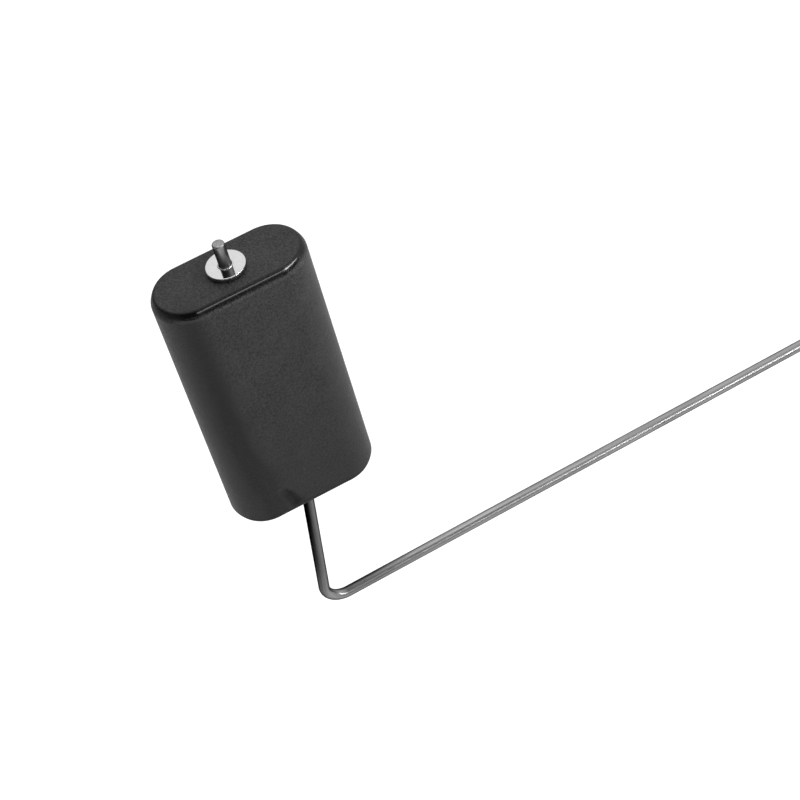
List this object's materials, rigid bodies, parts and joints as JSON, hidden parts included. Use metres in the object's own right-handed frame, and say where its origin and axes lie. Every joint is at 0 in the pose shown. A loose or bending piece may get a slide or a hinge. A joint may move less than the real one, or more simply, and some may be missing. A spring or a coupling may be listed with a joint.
{
  "type": "fuel level sender",
  "caption": "Swing-arm fuel level sender: a flat-oval foam float on a bent wire turns a wiper over a resistor card in a small bracketed housing.",
  "frame": {"origin": "on the arm's pivot axis, in the bracket's back face, midway between its two screw holes", "axes": "+Z out of the mounting plane along the pivot axis and along the float's wire, +X from the float towards the pivot at mid travel, +Y along the line of the screw holes"},
  "size_m": [0.2686, 0.08, 0.153],
  "materials": {
    "float_foam": "fine matte grain",
    "bright_wire": "satin drawn wire",
    "polished_washer": "polished",
    "zinc_steel": "zinc plated",
    "black_plastic": "moulded",
    "natural_plastic": "moulded, natural",
    "card_ceramic": "unglazed",
    "resistor_ink": "fired film",
    "conductor_ink": "fired film",
    "tinned_brass": "tinned",
    "plain_brass": "turned",
    "spring_bronze": "rolled strip",
    "contact_metal": "polished",
    "turned_steel": "turned",
    "spring_steel": "dark phosphate"
  },
  "bodies": {
    "head": {"mounting_bracket": "zinc_steel", "sender_housing": "black_plastic", "housing_rivets": "zinc_steel", "resistor_card": "card_ceramic", "resistor_track": "resistor_ink", "conductor_film": "conductor_ink", "signal_terminal": "tinned_brass", "ground_terminal": "tinned_brass", "terminal_rivets": "plain_brass", "pivot_pin": "turned_steel", "thrust_washer": "turned_steel", "retaining_clip": "spring_steel"},
    "arm": {"arm_rotor": "natural_plastic", "pivot_bush": "plain_brass", "wiper_spring": "spring_bronze", "wiper_contacts": "contact_metal", "wiper_rivets": "plain_brass", "float_arm": "bright_wire", "float_washer": "polished_washer"},
    "float": {"float_body": "float_foam"}
  },
  "joints": [
    {"name": "arm_swing", "type": "hinge", "parent": "head", "child": "arm", "pos_m": [0, 0, 0], "axis": [0, 0, 1], "range_deg": [-42, 42]},
    {"name": "float_swivel", "type": "hinge", "parent": "arm", "child": "float", "pos_m": [-0.205, 0, 0.1], "axis": [0, 0, 1], "continuous": true}
  ]
}
